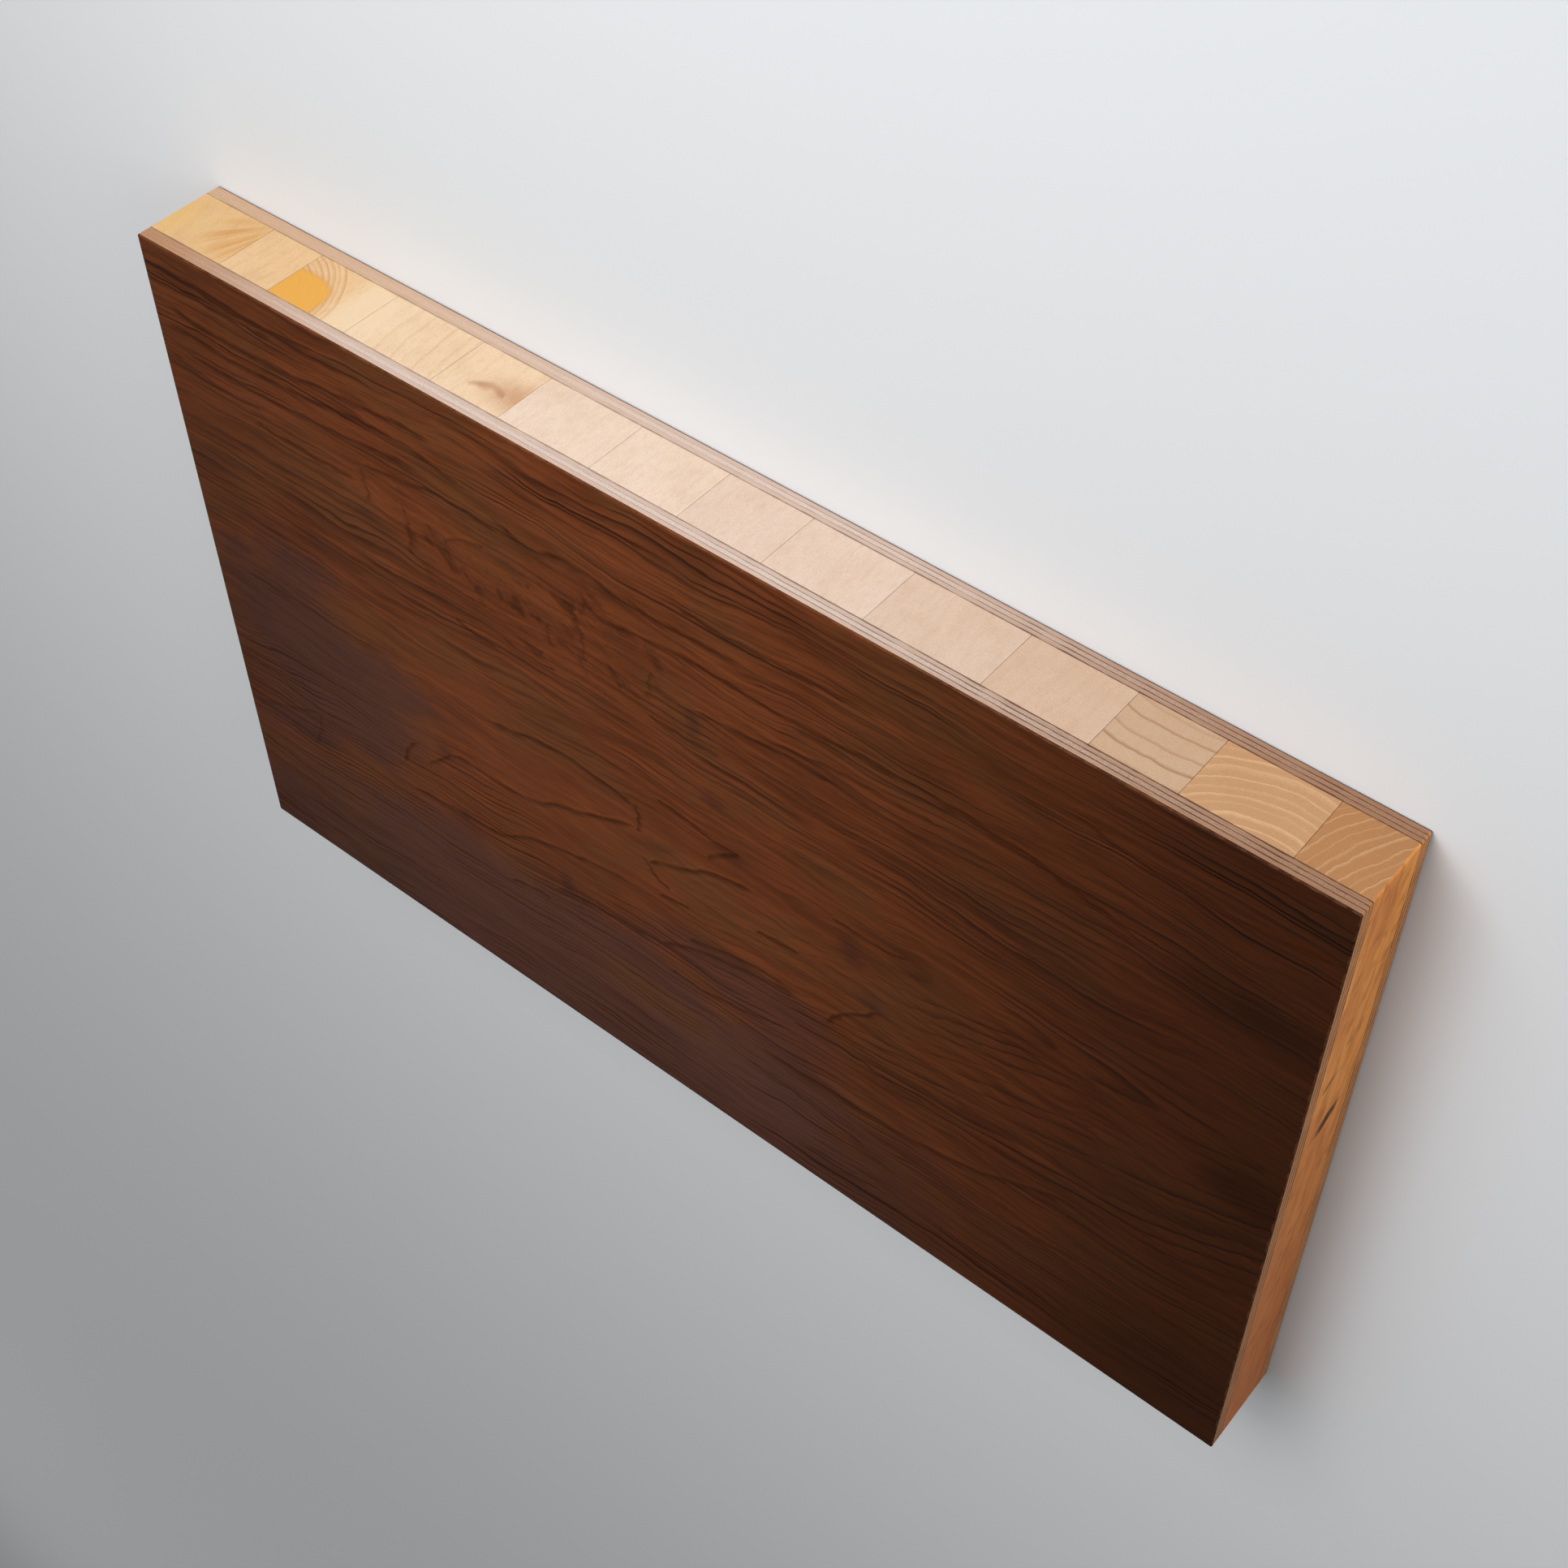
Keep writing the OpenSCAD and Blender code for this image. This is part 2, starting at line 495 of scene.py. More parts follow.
# Grain lines that stand out on the face: half width, faintness, then points x, y from the panel's middle
faceLines = [
    (1.0, 0.0, [(-160, 94), (-145, 93.2), (-130, 92), (-116, 92.8), (-100, 94.2)]),
    (0.9, 0.2, [(-158, 91.4), (-145, 90.8), (-132, 90), (-116, 90.4)]),
    (1.0, 0.0, [(-160, 82.4), (-149, 82.2), (-138, 81.2), (-122, 81.6), (-108, 83), (-92, 85), (-78, 86.4),
                (-62, 87)]),
    (1.1, 0.0, [(-160, 77.8), (-147, 77), (-134, 76.2), (-122, 77), (-110, 78), (-98, 79.6), (-86, 81),
                (-76, 81), (-66, 79.4), (-56, 78)]),
    (0.9, 0.1, [(-152, 70.4), (-136, 70.2), (-122, 70.8), (-108, 71.8), (-96, 73), (-84, 74.6), (-70, 75.6)]),
    (1.0, 0.4, [(-158, 68), (-148, 66), (-138, 65), (-126, 65.4)]),
    (1.0, 0.1, [(-132, 60), (-118, 60), (-106, 60.3), (-98, 60.8), (-94, 63)]),
    (1.3, 0.2, [(-94, 67), (-84, 68.4), (-75, 69.8), (-68, 71.4), (-60, 71), (-48, 70)]),
    (1.2, 0.0, [(-55, 76.5), (-48, 73), (-40, 71.2), (-34, 72.6), (-27, 73.4), (-16, 72.4), (-4, 71.8),
                (10, 72.4), (24, 73.6)]),
    (1.1, 0.0, [(-34, 62.6), (-28, 63), (-19, 62.5), (-9, 63.4), (1, 65), (12, 65.4), (28, 65), (44, 66),
                (60, 67), (76, 67.2), (90, 66.4), (102, 64.8), (114, 62.4), (126, 59)]),
    (0.9, 0.2, [(0, 79.4), (14, 79), (30, 79.6), (44, 80.4), (58, 81.2)]),
    (1.0, 0.1, [(100, 85), (110, 83.6), (120, 82), (132, 81.4), (144, 82.8), (160, 85.4)]),
    (0.9, 0.1, [(5, 50.4), (14, 51.4), (24, 52.8), (34, 53.6), (46, 53.8)]),
    (0.9, 0.1, [(22, 55), (34, 56), (44, 58), (54, 58.6), (64, 59), (74, 61)]),
    (1.6, 0.5, [(-68, 57.4), (-63, 60.6), (-55, 63)]),
    (1.6, 0.5, [(-28, 64), (-27.6, 57), (-26, 51.6), (-27, 45)]),
    (1.8, 0.5, [(-36, 51), (-36.8, 47.6), (-36.2, 43.6)]),
    (1.8, 0.4, [(-93.4, 66), (-92.8, 61), (-92, 56)]),
    (1.8, 0.4, [(-81, 62), (-79.8, 55), (-80.2, 46)]),
    (1.8, 0.5, [(-5.6, 55), (-6.6, 51), (-7, 46)]),
    (1.4, 0.4, [(-47, 40.4), (-43, 39.4), (-39, 39.8)]),
    (1.2, 0.4, [(-158, -53), (-150, -48.6), (-140, -44.4), (-131, -40)]),
    (1.2, 0.5, [(-130, -39), (-131, -46), (-134, -54)]),
    (0.9, 0.2, [(-68, 34.4), (-62, 32), (-55, 31.8)]),
    (0.9, 0.3, [(-53, 37), (-44, 36), (-35, 36.6)]),
    (0.9, 0.2, [(-8, 41.4), (-2, 40), (6, 40.2), (14, 41)]),
    (0.9, 0.3, [(-150, 1), (-130, 2.5), (-112, 2), (-96, 4)]),
    (1.0, 0.0, [(-63, 2.2), (-52, 4.6), (-44, 6.6), (-35, 7.4), (-27, 6.8), (-20, 6), (-11.5, 5)]),
    (1.0, 0.1, [(-13.8, 6.4), (-13, 3.4), (-12.8, 0.6), (-14.6, -4)]),
    (1.1, 0.0, [(-81, -22), (-74, -19.8), (-60, -19.4), (-50, -18.4), (-46, -16.8), (-41, -13.8),
                (-34, -11.2), (-28, -8.6), (-20, -5), (-12, -1.4)]),
    (1.2, 0.2, [(-87, -30), (-81.6, -25), (-78, -21)]),
    (1.0, 0.1, [(-91, -25), (-94, -29), (-95.6, -32), (-97, -36.5)]),
    (0.9, 0.1, [(-8, 12.8), (0, 12.2), (7, 11), (12, 10.2), (19.5, 10.8)]),
    (1.1, 0.0, [(7.6, 2.6), (10, 4.8), (13, 7.2), (18.6, 11.6)]),
    (1.1, 0.0, [(-12.5, -15), (-8, -11), (-3, -8.8), (3, -6), (8, -2.6), (14, -1), (23, 1.2)]),
    (1.1, 0.1, [(-12.6, -11.6), (-10.8, -14.4), (-8, -17), (-4, -18.4)]),
    (0.9, 0.2, [(-8, -22.6), (-3, -21.6), (2, -20.6)]),
    (0.9, 0.2, [(22, -13.2), (28, -12), (36, -10.8)]),
    (1.2, 0.1, [(58.5, -14), (55, -18.4), (50.4, -21.6), (46.4, -26), (43.6, -31)]),
    (0.8, 0.3, [(44, 9), (52, 9.6), (58, 9.6), (65, 10.8)]),
    (1.1, 0.1, [(-99, -46.4), (-88, -44), (-78, -42.6), (-66, -41.4), (-60, -39.4), (-55, -36), (-49, -33.2),
                (-42, -31), (-33, -28.8), (-24, -26.6), (-14, -25)]),
    (1.4, 0.2, [(-10, -43), (-4, -39.4), (4, -35.6), (14, -32.6), (24, -30), (36, -28)]),
    (1.2, 0.3, [(0, -33.6), (10, -30), (20, -27.6), (32, -26.4)]),
    (1.0, 0.1, [(-46, -49.4), (-40, -47.2), (-30, -45), (-22, -44.2), (-12, -43.4)]),
    (0.8, 0.2, [(32, -38.8), (42, -37.8), (50, -37), (60, -37.6), (74, -37.4)]),
    (1.1, 0.3, [(-8, -50.8), (2, -51), (14, -48.8), (26, -46)]),
    (1.0, 0.1, [(-62, -58), (-55, -55.6), (-46, -54)]),
    (1.1, 0.0, [(18, -59.4), (38, -58.2), (54, -57), (66, -56.2), (78, -53.8), (88, -50.8), (98, -46),
                (110, -40.6), (122, -37)]),
    (1.0, 0.1, [(96, -64), (110, -61), (124, -59.4), (140, -59), (160, -59.4)]),
    (0.9, 0.2, [(18, -67.6), (34, -68.4), (44, -70), (58, -71)]),
]
# Patches of another colour on the face: colour, how much of it, then the patch's own values. The greyish
# purple and pale pink ones are a painted reflection, the room's sheen on the satin face.
smudge = {"Soft": 1.0, "Ragged": 1.2}
faceSpots = [
    ("mauveSheen", 0.8, {"Centre": (-124, -16, 25), "Size": (48, 42, 99), "Soft": 0.5, "Ragged": 2.2}),
    ("mauveSheen", 0.8, {"Centre": (-38, -88, 25), "Size": (146, 48, 99), "Square": 3.0, "Soft": 0.4,
                    "Ragged": 1.2}),
    ("pinkSheen", 0.5, {"Centre": (20, -78, 25), "Size": (46, 26, 99), "Soft": 0.9, "Ragged": 1.2}),
    ("olive", 0.6, {"Centre": (-10, -68, 25), "Size": (26, 9, 99), "Soft": 0.7, "Ragged": 1.2}),
    ("mauveSheen", 0.6, {"Centre": (22, -38, 25), "Size": (36, 13, 99), "Soft": 0.6, "Ragged": 1.6}),
    ("shadow", 0.5, {"Centre": (50.5, 1, 25), "Size": (6, 9, 99), **smudge}),
    ("shadow", 0.5, {"Centre": (6, 46, 25), "Size": (4, 9, 99), **smudge}),
    ("shadow", 0.4, {"Centre": (-94, 52, 25), "Size": (8, 3, 99), **smudge}),
    ("shadow", 0.5, {"Centre": (57, -13, 25), "Size": (8, 7, 99), **smudge}),
    ("shadow", 0.5, {"Centre": (11, 24, 25), "Size": (8, 4, 99), **smudge}),
    ("shadow", 0.5, {"Centre": (-40, -43, 25), "Size": (4, 8, 99), **smudge}),
    ("shadow", 0.5, {"Centre": (-80, -21, 25), "Size": (6, 4, 99), **smudge}),
    ("shadow", 0.4, {"Centre": (8, -31, 25), "Size": (20, 5, 99), **smudge}),
    ("shadow", 0.5, {"Centre": (16, 9, 25), "Size": (6, 4, 99), **smudge}),
    ("dusk", 0.8, {"Centre": (150, 58, 25), "Size": (32, 12, 99), "Soft": 0.9, "Ragged": 1.6}),
    ("dusk", 0.8, {"Centre": (156, 3, 25), "Size": (20, 16, 99), "Soft": 0.8, "Ragged": 1.6}),
    ("dusk", 0.35, {"Centre": (146, -80, 25), "Size": (44, 36, 99), "Soft": 0.9, "Ragged": 1.6}),
]
# How the growth layers run, where the grain is quiet and where it curls
faceFigure = {
    "layers": {"Axis Y": 0.0, "Axis Slope": 0.11, "Reach": 35.0, "Depth": 9.0, "Width": 2.4,
               "Sway": 14.0},
    "calm": {"Centre": (-62, -44, 25), "Size": (118, 68, 99), "Square": 4.0, "Soft": 0.6, "Ragged": 0.8},
    "curl": {"Centre": (-42, 53, 25), "Size": (74, 26, 99), "Square": 2.5, "Soft": 0.9, "Ragged": 1.4},
}
backFigure = {
    "layers": {"Axis Y": -60.0, "Axis Slope": -0.03, "Reach": 60.0, "Depth": 14.0, "Width": 2.6,
               "Sway": 14.0},
    "calm": {"Centre": (50, 40, 0), "Size": (110, 50, 99), "Square": 3.0, "Soft": 0.8, "Ragged": 0.8},
    "curl": {"Centre": (-70, -30, 0), "Size": (70, 28, 99), "Square": 2.5, "Soft": 0.9, "Ragged": 1.4},
}


def makeVeneer(name, figure, lines=(), spots=()):
    look = veneerLook
    material, tree, shader, place = newMaterial(name, look["gloss"])
    drawn = useGroup(tree, veneerFigure, Place=place, **figure["layers"])
    light = step(tree, drawn["Shade"], *look["shadeLight"])
    light = timesPlus(tree, step(tree, drawn["Ripple"], *look["rippleLight"]), look["rippleAmount"], light)
    colour = blend(tree, light, look["brown"], look["pale"])
    sides = split(tree, place)
    x, y = sides["X"], sides["Y"]
    hue = noise(tree, place, look["hueScale"], detail=4, roughness=0.6)
    colour = blend(tree, step(tree, hue, *look["oliveHue"]), colour, look["olive"])
    # some patches are painted reflection: the greyish purple and pale pink sheen of the room on the satin
    # face
    for spotTone, amount, values in spots:
        mask = useGroup(tree, softSpot, Place=place, Rough=hue, **values)["Mask"]
        colour = tint(tree, colour, look[spotTone], mask, amount)
    # painted shade: the face darkens towards its left end and its front (-Y) edge as the light falls off;
    # towards its right end it is partly its own darker tone, partly painted shade
    colour = blend(tree, step(tree, x, *look["deepAndShadeRight"]), colour, look["deep"])
    colour = blend(tree, step(tree, x, *look["paintedShadeLeft"]), colour, look["deep"])
    colour = blend(tree, step(tree, y, *look["paintedShadeFront"]), colour, look["deep"])
    # the grain is quiet in one place and curls up in another
    curlMask = useGroup(tree, softSpot, Place=place, Rough=hue, **figure["curl"])["Mask"]
    slantX, slantY = look["curlSlant"]
    slanted = join(tree, timesPlus(tree, y, slantX, x), timesPlus(tree, x, slantY, y), 0.0)
    curl = minus(tree, noise(tree, slanted, look["curlScale"], detail=3, roughness=0.6), 0.5)
    curl = times(tree, curl, curlMask)
    calmMask = useGroup(tree, softSpot, Place=place, Rough=hue, **figure["calm"])["Mask"]
    quiet = calc(tree, "MAXIMUM", calmMask, times(tree, curlMask, look["curlQuiet"]))
    busy = timesPlus(tree, quiet, -look["quiet"], 1.0)
    colour = blend(tree, step(tree, curl, *look["curlDark"]), colour, look["line"])
    colour = blend(tree, step(tree, curl, *look["curlPale"]), colour, look["pale"])
    colour = tint(tree, colour, look["line"], drawn["Pore"], times(tree, busy, look["poreAmount"]))
    colour = tint(tree, colour, look["line"], step(tree, drawn["Ripple"], *look["rippleDark"]), busy)
    # dark edges of the growth layers
    atHeart = step(tree, drawn["Heart"], *look["linesAtHeart"])
    shown = calc(tree, "MAXIMUM", atHeart, step(tree, x, *look["linesAtRight"]))
    shown = times(tree, shown, timesPlus(tree, curlMask, -look["curlHides"], 1.0))
    dark = times(tree, drawn["Line"], shown)
    lineTone = blend(tree, step(tree, x, *look["duskLines"]), look["line"], look["dusk"])
    colour = blend(tree, dark, colour, lineTone)
    swell = times(tree, minus(tree, drawn["Ripple"], 0.5), busy)
    relief = timesPlus(tree, swell, look["rippleHeight"], times(tree, dark, look["ridgeHeight"]))
    relief = timesPlus(tree, drawn["Pore"], -look["poreDepth"], relief)
    relief = timesPlus(tree, curl, look["curlHeight"], relief)
    if lines:
        bendX, bendY = look["bend"]
        bentX = timesPlus(tree, drawn["Wave"], bendX, x)
        bentY = timesPlus(tree, drawn["Wave"], bendY, y)
        nearest = drawLines(tree, bentX, bentY, lines)
        broken = noise(tree, place, look["brokenScale"], detail=3)
        shows = step(tree, broken, *look["broken"])
        stroke = times(tree, step(tree, nearest, *look["strokeEdge"]), shows)
        raised = step(tree, nearest, *look["strokeSwell"])
        relief = timesPlus(tree, raised, look["strokeHeight"], relief)
        colour = blend(tree, stroke, colour, look["stroke"])
    wear = useGroup(tree, arrisWear, Place=place, Width=look["wearWidth"])["Mask"]
    colour = tint(tree, colour, look["rubbed"], wear, look["wearAmount"])
    plug(tree, colour, shader.inputs["Base Color"])
    plug(tree, step(tree, drawn["Pore"], 0.0, 1.0, *look["roughness"]), shader.inputs["Roughness"])
    bump(tree, shader, relief)
    return material


dress("face_veneer", makeVeneer("faceVeneer", faceFigure, faceLines, faceSpots))
dress("back_veneer", makeVeneer("backVeneer", backFigure))
print("veneers dressed")

# Plies of the skins
plyLook = {
    "cross": tone(224, 203, 190),
    "long": tone(216, 190, 174),
    # right: the plies darker towards the right end, partly their own tone and partly painted shade
    "right": tone(163, 120, 88),
    "stain": tone(146, 102, 74),
    "glue": tone(86, 54, 38),
    "faceLeft": tone(190, 143, 106),
    "faceEnd": tone(206, 142, 88),
    "faceEndFar": tone(192, 132, 86),
    "backLeft": tone(214, 176, 143),
    "backEnd": tone(226, 158, 100),
    "backEndFar": tone(216, 150, 96),
    "faceLeftReach": (-165.0, -80.0, 1.0, 0.0),
    "backLeftReach": (-150.0, 0.0, 0.9, 0.0),
    "rightReach": (20.0, 160.0),
    "rightAmount": 0.9,
    "crossStreak": (0.5, 9.0, 0.35),
    "longStreak": (9.0, 0.5, 0.3),
    "streaked": (0.16, 0.5),  # amounts on the left and on the right
    "flecked": (0.14, 0.4),
    "glueReach": (-80.0, 130.0),
    "coreGlue": {"width": 0.36, "shows": (0.45, 1.0)},
    "plyGlue": {"width": 0.32, "shows": (0.02, 0.95)},
    "roughness": (0.6, 0.8),
    "gloss": 0.1,
    "depth": 0.05,
}
endSkin = (0.5, 0.25)  # how far in from the panel's ends their own colour starts and is full


def endMask(tree, x):
    outer, full = endSkin
    return step(tree, calc(tree, "ABSOLUTE", x), panelHigh.x - outer, panelHigh.x - full)


def makePly(nodeName, number, skin):
    look = plyLook
    material, tree, shader, place = newMaterial(nodeName, look["gloss"])
    lowest, highest = (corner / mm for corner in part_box(nodeName))
    run = "cross" if number == 2 else "long"
    sides = split(tree, place)
    x, y = sides["X"], sides["Y"]
    left = step(tree, x, *look[skin + "LeftReach"])
    colour = blend(tree, left, look[run], look[skin + "Left"])
    # darker towards the right end: partly the plies' own tone, partly painted shade of the light falling off
    right = step(tree, x, *look["rightReach"])
    colour = tint(tree, colour, look["right"], right, look["rightAmount"])
    atEnd = endMask(tree, x)
    # on the panel's end, lighter by the +Y edge and darker by the -Y edge: this change is painted shade of
    # light from the +Y side
    endTone = blend(tree, step(tree, y, panelHigh.y, panelLow.y), look[skin + "End"], look[skin + "EndFar"])
    colour = blend(tree, atEnd, colour, endTone)
    grain = useGroup(tree, woodFibre, Place=place, Stretch=look[run + "Streak"])
    streaked = step(tree, right, 0.0, 1.0, *look["streaked"])
    colour = tint(tree, colour, look["stain"], grain["Streak"], streaked)
    flecked = step(tree, right, 0.0, 1.0, *look["flecked"])
    colour = tint(tree, colour, look["stain"], grain["Fleck"], flecked)
    # glue on the side that faces the core
    inner = {"Low": lowest.z, "High": 99.0} if skin == "face" else {"Low": -99.0, "High": highest.z}
    film = look["coreGlue" if number == 3 else "plyGlue"]
    glue = useGroup(tree, glueLine, Place=place, Width=film["width"], **inner)["Mask"]
    colour = tint(tree, colour, look["glue"], glue, step(tree, x, *look["glueReach"], *film["shows"]))
    plug(tree, colour, shader.inputs["Base Color"])
    plug(tree, step(tree, grain["Streak"], 0.0, 1.0, *look["roughness"]), shader.inputs["Roughness"])
    bump(tree, shader, times(tree, minus(tree, grain["Streak"], glue), look["depth"]))
    return material


for skin in ("face", "back"):
    for number in (1, 2, 3):
        nodeName = f"{skin}_ply_{number}"
        dress(nodeName, makePly(nodeName, number, skin))
print("plies dressed")

# Core strips
stripLook = {
    "speck": tone(190, 140, 96),
    "glue": tone(128, 90, 62),
    "darkLate": tone(158, 112, 78),
    "lightLate": tone(240, 198, 150),
    "goldLate": tone(208, 148, 90),
    "blotchScale": (0.09, 0.02, 0.09),
    "mottleScale": (0.8, 0.06, 0.3),
    "speckled": (0.4, 0.75, 0.0, 0.16),
    "streak": (0.5, 14.0, 0.5),
    "streakAmount": 0.10,
    "glueWidth": 0.2,
    "glueAmount": 0.4,
    "roughness": (0.62, 0.78),
    "gloss": 0.2,
    "depth": 0.03,
    "mottleDepth": 0.08,
}
# Side grain of the outer strips, on the ends of the panel. It goes from near, by the +Y edge, to the darker
# far, by the -Y edge: that change is painted shade.
sideLook = {
    "near": tone(250, 167, 82),
    "far": tone(192, 112, 58),
    "streak": tone(172, 94, 40),
    "cloud": tone(204, 118, 52),
    "lean": 0.14,
    "flowScale": (0.5, 0.05, 0.4),
    "flow": (0.42, 0.72, 0.0, 0.6),
    "cloudScale": (0.03, 0.04, 0.08),
    "clouded": (0.42, 0.62, 0.0, 0.5),
    "patchScale": (0.4, 0.13, 0.22),
    "patched": (0.5, 0.7, 0.0, 0.5),
}
woodTone = {
    "honey": tone(232, 192, 138),
    "gold": tone(236, 198, 151),
    "straw": tone(240, 210, 176),
    "cream": tone(238, 214, 193),
    "blush": tone(231, 206, 187),
    "petal": tone(223, 196, 175),
    "rose": tone(217, 186, 161),
    "tan": tone(205, 171, 141),
    "amber": tone(200, 154, 113),
    "toffee": tone(182, 129, 84),
}
# What a strip has unless its own entry says otherwise. Rings show as far from the pith as reach says.
plainStrip = {"width": 4.0, "wander": 0.8, "uneven": 1.4, "sharp": 0.5, "reach": 200.0, "strength": 0.08,
              "late": "goldLate", "spots": ()}
# Strips from left to right. A pith is placed across from its strip's left side, and all else from the
# panel's middle. Heights are from the back. A spot has its colour, how much of it, then its own values.
strips = [
    {"wood": "honey", "pith": (-80.0, 40.0), "width": 5.0, "wander": 0.5, "strength": 0.15,
     "fan": {"centre": (-134.5, 0.0), "tone": tone(214, 150, 80), "rays": 6.0,
             "shows": (0.38, 0.62, 0.1, 0.75),
             "spot": {"Centre": (-141, 100, 12.5), "Size": (9.5, 40, 11), "Square": 3.0, "Soft": 0.8,
                      "Ragged": 0.4}},
     "spots": [(tone(232, 184, 106), 0.55,
                {"Centre": (-160, 100, 14), "Size": (9, 40, 14), "Soft": 1.0, "Ragged": 0.8})]},
    {"wood": "gold", "pith": (-60.0, 10.0), "wander": 0.5, "strength": 0.15},
    {"wood": "gold", "pith": (-9.0, 25.0), "width": 1.3, "wander": 0.3, "uneven": 0.8, "sharp": 0.35,
     "reach": 27.5, "strength": 0.8,
     "spots": [(tone(241, 216, 182), 0.75,
                {"Centre": (-98, 100, 12), "Size": (9, 40, 18), "Square": 4.0, "Soft": 0.7, "Ragged": 0.4}),
               (tone(206, 144, 78), 0.6,
                {"Centre": (-120.8, 100, 21.8), "Size": (14.7, 30, 12.9), "Square": 4.0, "Soft": 0.14}),
               (tone(233, 171, 76), 0.95,
                {"Centre": (-120.8, 100, 21.8), "Size": (14.0, 30, 12.3), "Square": 4.0, "Soft": 0.12})]},
    {"wood": "straw", "pith": (70.0, 8.0), "width": 3.6, "wander": 0.6, "strength": 0.25,
     "spots": [(tone(242, 216, 182), 0.7,
                {"Centre": (-96, 100, 12), "Size": (14, 40, 24), "Soft": 1.0, "Ragged": 0.4})]},
    {"wood": "straw", "pith": (-50.0, 14.0), "wander": 0.6, "strength": 0.10,
     "arc": {"line": (0.9, 0.0, [(-63, 16.4), (-60.2, 14.9), (-57.8, 13.9), (-55.4, 14.3), (-52.5, 16.2)]),
             "tone": tone(158, 98, 64), "edge": (0.0, 1.8, 0.4, 0.0), "reach": (70.0, 90.0)},
     "spots": [(tone(200, 150, 112), 0.8,
                {"Centre": (-50.5, 100, 14.0), "Size": (12.5, 26, 7.5), "Soft": 1.0, "Ragged": 0.9}),
               (tone(200, 142, 112), 0.6,
                {"Centre": (-59.2, 100, 15.2), "Size": (2.6, 10, 1.7), "Soft": 0.9, "Ragged": 0.4})]},
    {"wood": "cream", "pith": (90.0, 12.0), "width": 4.2},
    {"wood": "cream", "pith": (-80.0, 4.0)},
    {"wood": "blush", "pith": (80.0, 16.0), "width": 3.8, "strength": 0.07},
    {"wood": "blush", "pith": (-70.0, 30.0)},
    {"wood": "petal", "pith": (90.0, 0.0), "width": 4.4, "strength": 0.09},
    {"wood": "rose", "pith": (-70.0, 6.0), "strength": 0.10, "late": "darkLate"},
    {"wood": "tan", "pith": (10.0, -40.0), "width": 3.9, "wander": 0.5, "uneven": 0.5, "sharp": 0.72,
     "strength": 0.75, "late": "darkLate"},
    {"wood": "amber", "pith": (19.0, 36.0), "width": 2.3, "wander": 0.5, "uneven": 1.0, "sharp": 0.55,
     "strength": 0.55, "late": "lightLate"},
    {"wood": "toffee", "pith": (44.0, 27.0), "width": 2.2, "wander": 0.9, "sharp": 0.6, "strength": 0.4,
     "late": "lightLate",
     "spots": [(tone(78, 36, 12), 0.95,
                {"Centre": (160, 23.5, 12.2), "Size": (6, 3.2, 5.4), "Slant": 0.5, "Soft": 0.6,
                 "Ragged": 0.6}),
               (tone(128, 70, 32), 0.7,
                {"Centre": (160, 40, 16.5), "Size": (6, 2.0, 3.4), "Slant": 0.5, "Soft": 0.8,
                 "Ragged": 0.6})]},
]


def fanOut(tree, place, x, z, mottle, fan):  # streaks that spread from one corner
    cornerX, cornerZ = fan["centre"]
    across = minus(tree, x, cornerX)
    up = minus(tree, z, cornerZ)
    angle = calc(tree, "ARCTAN2", up, across)
    ray = lineNoise(tree, times(tree, angle, fan["rays"]), detail=3)
    spread = useGroup(tree, softSpot, Place=place, Rough=mottle, **fan["spot"])["Mask"]
    return times(tree, spread, step(tree, ray, *fan["shows"]))


def sideGrain(tree, place, x, y, z):
    look = sideLook
    lean = join(tree, x, y, timesPlus(tree, y, look["lean"], z))
    flow = noise(tree, lean, look["flowScale"], detail=4, roughness=0.65)
    cloud = noise(tree, place, look["cloudScale"], detail=3)
    # lighter by the +Y edge, darker by the -Y edge: painted shade
    side = blend(tree, step(tree, y, panelHigh.y, panelLow.y), look["near"], look["far"])
    side = blend(tree, step(tree, cloud, *look["clouded"]), side, look["cloud"])
    patch = noise(tree, lean, look["patchScale"], detail=3, roughness=0.6)
    side = blend(tree, step(tree, patch, *look["patched"]), side, look["streak"])
    return blend(tree, step(tree, flow, *look["flow"]), side, look["streak"])


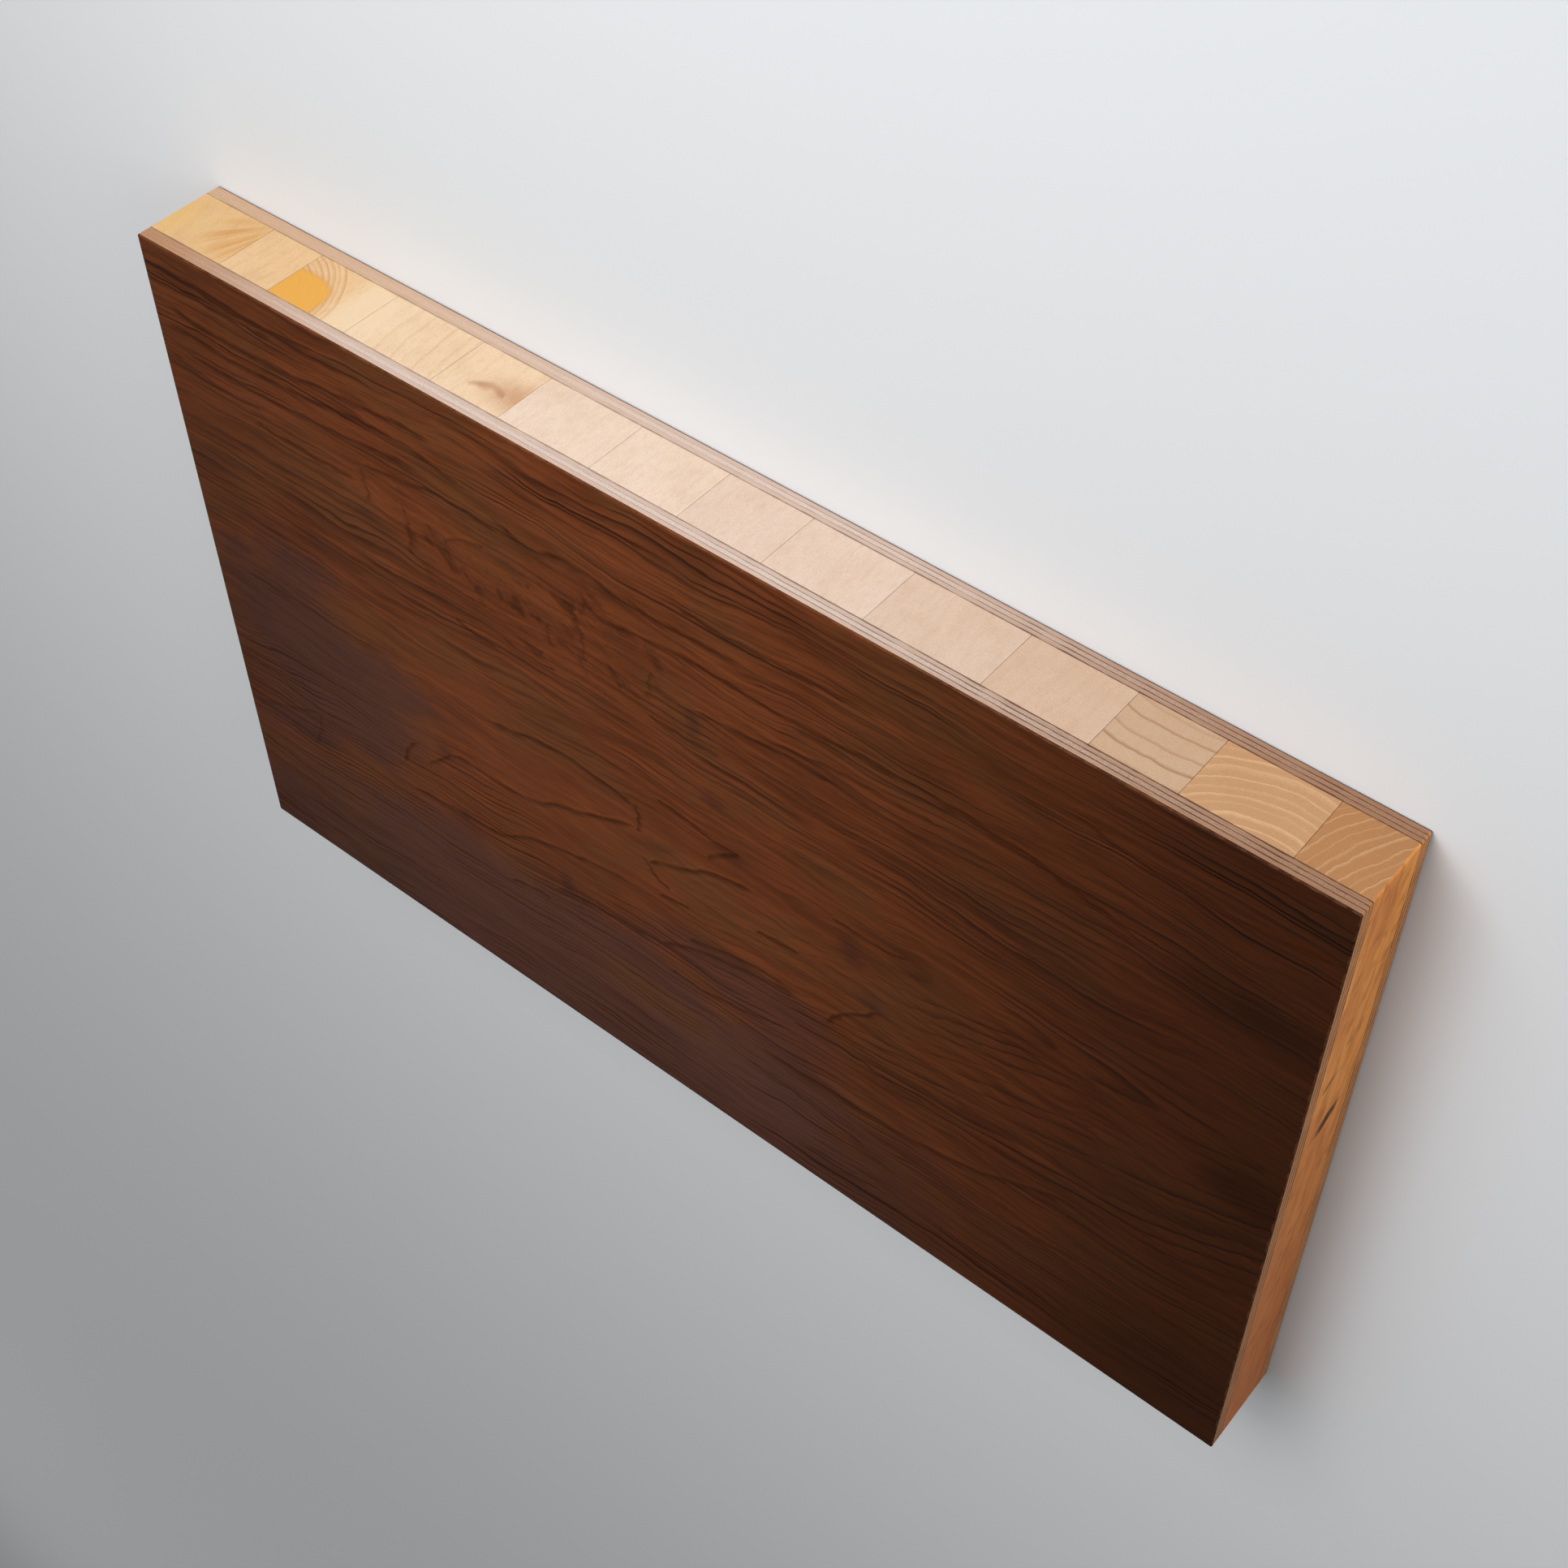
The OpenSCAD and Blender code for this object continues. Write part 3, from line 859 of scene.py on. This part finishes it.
def makeStrip(nodeName, strip, outermost):
    look = stripLook
    material, tree, shader, place = newMaterial(nodeName, look["gloss"])
    lowest, highest = (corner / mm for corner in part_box(nodeName))
    x, y, z = split(tree, place)
    pithAcross, pithUp = strip["pith"]
    ring = useGroup(tree, growthRings, Place=place, PithX=lowest.x + pithAcross, PithZ=pithUp,
                    Width=strip["width"], Wander=strip["wander"], Uneven=strip["uneven"],
                    Sharp=strip["sharp"])
    grain = useGroup(tree, woodFibre, Place=place, Stretch=look["streak"])
    near = step(tree, ring["Radius"], strip["reach"] - 1.0, strip["reach"] + 0.5, 1.0, 0.0)
    late = times(tree, ring["Late"], near)
    colour = tint(tree, woodTone[strip["wood"]], look[strip["late"]], late, strip["strength"])
    blotch = noise(tree, place, look["blotchScale"], detail=3)
    colour = blend(tree, step(tree, blotch, *look["speckled"]), colour, look["speck"])
    mottle = noise(tree, place, look["mottleScale"], detail=3, roughness=0.65)
    colour = blend(tree, step(tree, mottle, *look["speckled"]), colour, look["speck"])
    if "fan" in strip:
        streaked = fanOut(tree, place, x, z, mottle, strip["fan"])
        colour = blend(tree, streaked, colour, strip["fan"]["tone"])
    if outermost:
        atEnd = endMask(tree, x)
        colour = blend(tree, atEnd, colour, sideGrain(tree, place, x, y, z))
    colour = tint(tree, colour, look["darkLate"], grain["Streak"], look["streakAmount"])
    for spotTone, amount, values in strip["spots"]:
        mask = useGroup(tree, softSpot, Place=place, Rough=mottle, **values)["Mask"]
        colour = tint(tree, colour, spotTone, mask, amount)
    if "arc" in strip:  # dark line round the small knot
        arc = strip["arc"]
        nearest = drawLines(tree, x, z, [arc["line"]])
        shows = times(tree, step(tree, nearest, *arc["edge"]), step(tree, y, *arc["reach"]))
        colour = blend(tree, shows, colour, arc["tone"])
    film = useGroup(tree, glueLine, Place=place, Low=lowest.z, High=highest.z, Width=look["glueWidth"])
    colour = tint(tree, colour, look["glue"], film["Mask"], look["glueAmount"])
    plug(tree, colour, shader.inputs["Base Color"])
    plug(tree, step(tree, grain["Streak"], 0.0, 1.0, *look["roughness"]), shader.inputs["Roughness"])
    relief = times(tree, calc(tree, "ADD", grain["Streak"], late), look["depth"])
    bump(tree, shader, timesPlus(tree, mottle, look["mottleDepth"], relief))
    return material


for number, strip in enumerate(strips, 1):
    nodeName = f"core_strip_{number:02d}"
    dress(nodeName, makeStrip(nodeName, {**plainStrip, **strip}, number in (1, len(strips))))
print("strips dressed")

# Camera, as the photograph looks at the panel: place in metres, then its own right and up
cameraLook = {
    "place": (0.24323, 0.41606, 0.28278),
    "right": (0.77627, -0.00529, -0.63038),
    "up": (-0.46641, 0.66790, -0.57997),
    "lens": 53.84,
    "sensor": 36,
}
cameraData = bpy.data.cameras.new("camera")
cameraData.sensor_width = cameraLook["sensor"]
cameraData.lens = cameraLook["lens"]
camera = bpy.data.objects.new("camera", cameraData)
right = Vector(cameraLook["right"]).normalized()
back = right.cross(Vector(cameraLook["up"])).normalized()
turn = Matrix((right, back.cross(right), back)).transposed()
camera.matrix_world = Matrix.Translation(cameraLook["place"]) @ turn.to_4x4()
scene.collection.objects.link(camera)
scene.camera = camera

# Soft light: four panels, a wide sun for the floor and a pale room, in metres and watts
lampLook = {
    "key": {"place": (-0.08, 0.46, 0.42), "aim": (0.0, 0.05, 0.0), "size": 0.4, "watts": 2.55},
    "end": {"place": (0.62, 0.36, 0.36), "aim": (0.14, 0.0, 0.0), "size": 0.4, "watts": 1.5},
    "side": {"place": (-1.0, 0.05, 0.60), "aim": (0.0, 0.0, 0.0), "size": 0.6, "watts": 0.6},
    "back": {"place": (-1.0, -1.3, 0.77), "aim": (-0.6, -0.8, 0.0), "size": 1.0, "watts": 1.2},
}
for name, look in lampLook.items():
    lampData = bpy.data.lights.new(name, "AREA")
    lampData.size = look["size"]
    lampData.energy = look["watts"]
    lamp = bpy.data.objects.new(name, lampData)
    lamp.location = look["place"]
    lamp.rotation_euler = (Vector(look["aim"]) - Vector(look["place"])).to_track_quat("-Z", "Y").to_euler()
    scene.collection.objects.link(lamp)
sunLook = {"from": (-0.3, 0.35, 1.0), "strength": 0.7, "angle": 0.7}
sunData = bpy.data.lights.new("sun", "SUN")
sunData.energy = sunLook["strength"]
sunData.angle = sunLook["angle"]
sun = bpy.data.objects.new("sun", sunData)
sun.rotation_euler = Vector(sunLook["from"]).to_track_quat("Z", "Y").to_euler()
scene.collection.objects.link(sun)

roomLook = {"colour": (0.80, 0.82, 0.84, 1), "strength": 0.16}
world = bpy.data.worlds.new("room")
world.use_nodes = True
background = world.node_tree.nodes["Background"]
background.inputs["Color"].default_value = roomLook["colour"]
background.inputs["Strength"].default_value = roomLook["strength"]
scene.world = world

# Plain pale floor
floorLook = {"size": 8.0, "tone": tone(214, 216, 218), "roughness": 0.8, "gloss": 0.1}
bpy.ops.object.select_all(action="DESELECT")
bpy.ops.mesh.primitive_plane_add(size=floorLook["size"], location=(0, 0, 0))
floor = bpy.context.object
floor.name = "floor"
floorMaterial = bpy.data.materials.new("floor")
floorMaterial.use_nodes = True
floorShader = floorMaterial.node_tree.nodes["Principled BSDF"]
floorShader.inputs["Base Color"].default_value = floorLook["tone"]
floorShader.inputs["Roughness"].default_value = floorLook["roughness"]
floorShader.inputs["Specular IOR Level"].default_value = floorLook["gloss"]
floor.data.materials.append(floorMaterial)
floor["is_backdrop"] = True
scene.view_settings.view_transform = "Standard"
print("camera, lights and floor")
